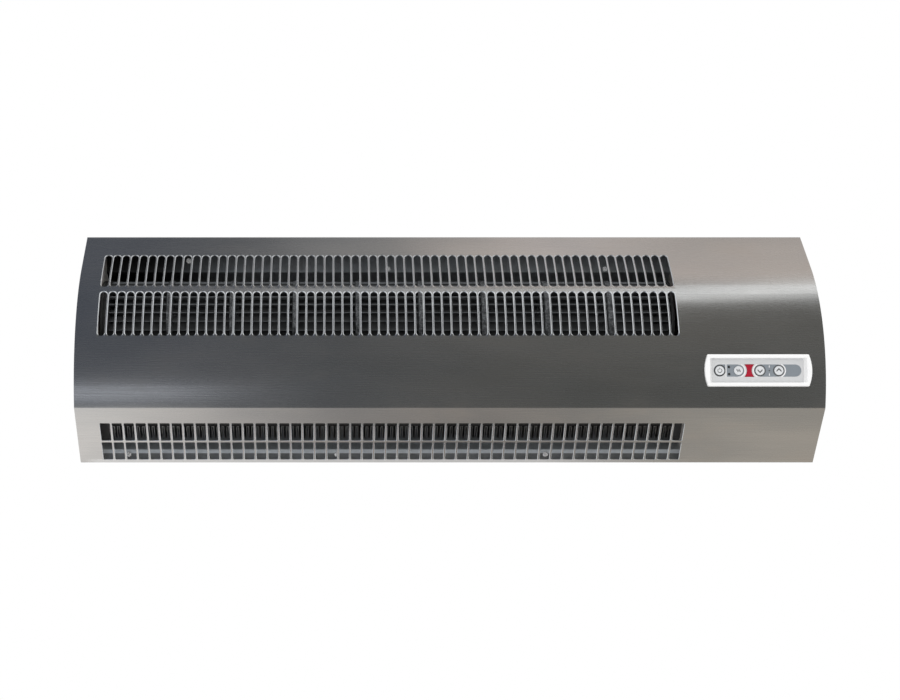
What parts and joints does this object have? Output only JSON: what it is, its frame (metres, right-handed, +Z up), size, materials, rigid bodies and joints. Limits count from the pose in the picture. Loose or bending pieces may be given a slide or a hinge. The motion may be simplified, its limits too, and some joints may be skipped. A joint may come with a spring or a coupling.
{
  "type": "air curtain",
  "caption": "Wall-hung air curtain: brushed steel hood with slotted intake and punched outlet, cross-flow impeller, heater and button panel.",
  "frame": {"origin": "on the back face that lies on the wall, half way along and half way up the case", "axes": "+X along the case towards the control panel, +Y into the wall, +Z up; the front faces -Y"},
  "size_m": [0.8, 0.1632, 0.2573],
  "materials": {
    "stainless": "brushed stainless steel, fine horizontal grain",
    "galvanised": "galvanised sheet steel, dull",
    "impeller_plastic": "glass-filled moulded plastic, dark grey",
    "white_plastic": "white moulded plastic, satin",
    "pale_plastic": "pale grey moulded plastic, satin",
    "dark_plastic": "dark heat-resistant plastic",
    "red_window": "red tinted plastic, glossy",
    "light_plastic": "dark tinted lens, unlit",
    "rubber": "black rubber",
    "steel": "bright plated steel",
    "aluminium": "bare aluminium",
    "bronze": "sintered bronze",
    "board": "green glass-fibre board",
    "ceramic": "cream ceramic"
  },
  "bodies": {
    "casing": {"front_hood": "stainless", "left_end_plate": "stainless", "right_end_plate": "stainless", "chassis": "galvanised", "rear_guide": "galvanised", "duct_tongue": "galvanised", "left_cheek": "galvanised", "right_cheek": "galvanised", "motor_stator": "steel", "lip_screw_left": "steel", "lip_screw_middle": "steel", "lip_screw_right": "steel", "guide_screw_left": "steel", "guide_screw_middle": "steel", "guide_screw_right": "steel", "motor_screw_1": "steel", "motor_screw_2": "steel", "hood_screw_left": "steel", "hood_screw_right": "steel", "bearing_bush": "bronze", "motor_front_bush": "bronze", "motor_rear_bush": "bronze", "bearing_holder": "rubber", "cable_grommet": "rubber", "motor_front_bell": "aluminium", "motor_rear_bell": "aluminium", "heater_fins_upper": "aluminium", "heater_fins_lower": "aluminium", "heater_core": "ceramic", "terminal_block": "ceramic", "thermal_cutout": "ceramic", "heater_block_left": "dark_plastic", "heater_block_right": "dark_plastic", "control_bezel": "white_plastic", "motor_capacitor": "white_plastic", "control_fascia": "pale_plastic", "receiver_window": "red_window", "status_light_upper": "light_plastic", "status_light_lower": "light_plastic", "control_board": "board", "power_board": "board"},
    "impeller": {"bearing_disc": "impeller_plastic", "impeller_segment_1": "impeller_plastic", "impeller_segment_2": "impeller_plastic", "impeller_segment_3": "impeller_plastic", "impeller_segment_4": "impeller_plastic", "impeller_segment_5": "impeller_plastic", "impeller_segment_6": "impeller_plastic", "impeller_segment_7": "impeller_plastic", "impeller_segment_8": "impeller_plastic", "impeller_segment_9": "impeller_plastic", "drive_disc": "impeller_plastic", "bearing_pin": "steel", "drive_sleeve": "rubber", "motor_shaft": "steel", "motor_rotor": "aluminium"},
    "button_power": {"button_power": "white_plastic"},
    "button_heat": {"button_heat": "white_plastic"},
    "button_down": {"button_down": "white_plastic"},
    "button_up": {"button_up": "white_plastic"}
  },
  "joints": [
    {"name": "impeller_spin", "type": "hinge", "parent": "casing", "child": "impeller", "pos_m": [0, -0.087, 0.0275], "axis": [1, 0, 0], "continuous": true},
    {"name": "button_power_press", "type": "slide", "parent": "casing", "child": "button_power", "axis": [0, 0.984, 0.178], "range_m": [0, 0.0006], "stiffness_N_per_m": 600, "springref_m": -0.001},
    {"name": "button_heat_press", "type": "slide", "parent": "casing", "child": "button_heat", "axis": [0, 0.984, 0.178], "range_m": [0, 0.0006], "stiffness_N_per_m": 600, "springref_m": -0.001},
    {"name": "button_down_press", "type": "slide", "parent": "casing", "child": "button_down", "axis": [0, 0.984, 0.178], "range_m": [0, 0.0006], "stiffness_N_per_m": 600, "springref_m": -0.001},
    {"name": "button_up_press", "type": "slide", "parent": "casing", "child": "button_up", "axis": [0, 0.984, 0.178], "range_m": [0, 0.0006], "stiffness_N_per_m": 600, "springref_m": -0.001}
  ]
}
